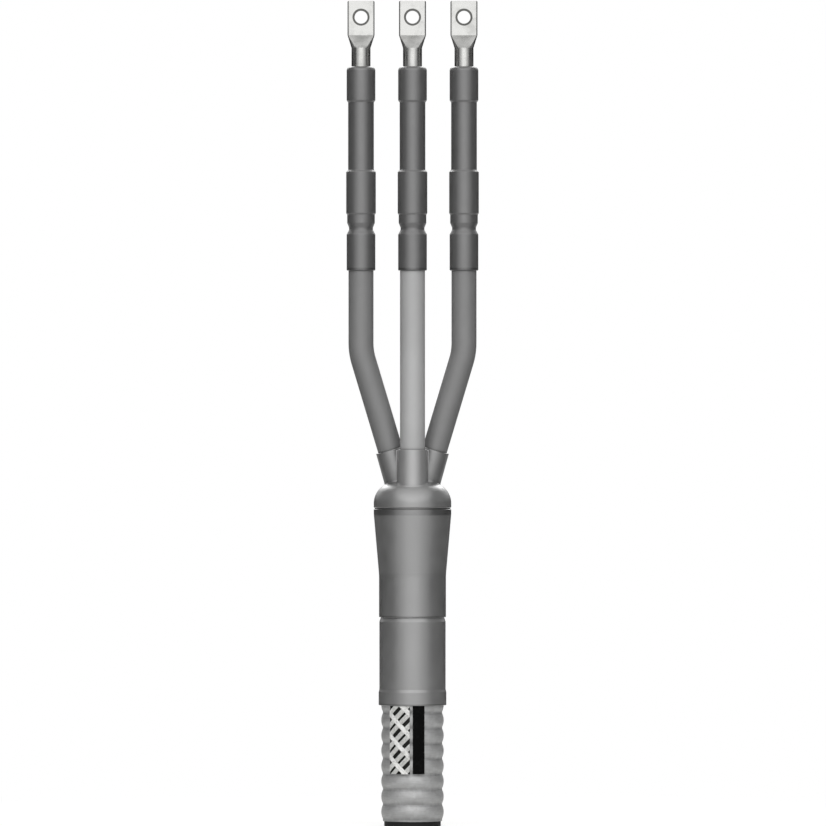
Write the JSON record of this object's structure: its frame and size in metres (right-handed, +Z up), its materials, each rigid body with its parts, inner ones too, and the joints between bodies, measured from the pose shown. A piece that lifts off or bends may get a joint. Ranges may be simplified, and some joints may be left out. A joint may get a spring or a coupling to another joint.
{
  "type": "cable termination",
  "caption": "Indoor cable termination: corrugated-armour cable, sealing sleeve, breakout boot and splayed cores, each with a rubber termination body and a crimped one-hole lug.",
  "frame": {"origin": "on the cable's axis at its flat cut end, which is the middle of the underside of the bounding box", "axes": "+Z up the cable to the lugs, +X along the row of lugs, +Y from the braid's side to the palms' contact faces; the drawing is seen from -Y"},
  "size_m": [0.1326, 0.0774, 0.8255],
  "materials": {
    "tinned_lug": "satin",
    "conductor_metal": "satin",
    "copper_screen": "satin",
    "tinned_braid": "satin",
    "spring_steel": "satin",
    "armour_metal": "satin",
    "termination_rubber": "satin",
    "tube_rubber": "satin",
    "tube_rubber_light": "satin",
    "sleeve_rubber": "satin",
    "stress_rubber": "satin",
    "core_screen": "matte",
    "core_insulation": "satin",
    "jacket_plastic": "satin",
    "lead_plastic": "satin",
    "filler_plastic": "matte",
    "binder_fabric": "matte",
    "black_mastic": "matte",
    "black_tape": "satin",
    "grey_putty": "matte"
  },
  "bodies": {
    "root": {"armour": "armour_metal", "armour_roll_spring": "spring_steel", "binder_tape": "binder_fabric", "bond_lead_braid": "tinned_braid", "bond_lead_skin": "lead_plastic", "breakout_boot": "sleeve_rubber", "buildup_tape": "black_tape", "centre_filler": "filler_plastic", "conductor_left": "conductor_metal", "conductor_middle": "conductor_metal", "conductor_right": "conductor_metal", "conductor_screen_left": "core_screen", "conductor_screen_middle": "core_screen", "conductor_screen_right": "core_screen", "copper_tape_left": "copper_screen", "copper_tape_middle": "copper_screen", "copper_tape_right": "copper_screen", "core_tube_left": "tube_rubber", "core_tube_middle": "tube_rubber_light", "core_tube_right": "tube_rubber", "crotch_filler": "grey_putty", "filler_rope_1": "filler_plastic", "filler_rope_2": "filler_plastic", "filler_rope_3": "filler_plastic", "ground_braid": "tinned_braid", "inner_jacket": "jacket_plastic", "insulation_left": "core_insulation", "insulation_middle": "core_insulation", "insulation_right": "core_insulation", "insulation_screen_left": "core_screen", "insulation_screen_middle": "core_screen", "insulation_screen_right": "core_screen", "jacket_mastic": "black_mastic", "lug_left": "tinned_lug", "lug_mastic_left": "black_mastic", "lug_mastic_middle": "black_mastic", "lug_mastic_right": "black_mastic", "lug_middle": "tinned_lug", "lug_right": "tinned_lug", "mouth_mastic": "black_mastic", "screen_roll_spring": "spring_steel", "sealing_sleeve": "sleeve_rubber", "stress_mastic_left": "black_mastic", "stress_mastic_middle": "black_mastic", "stress_mastic_right": "black_mastic", "stress_tube_left": "stress_rubber", "stress_tube_middle": "stress_rubber", "stress_tube_right": "stress_rubber", "termination_body_left": "termination_rubber", "termination_body_middle": "termination_rubber", "termination_body_right": "termination_rubber"}
  },
  "joints": []
}
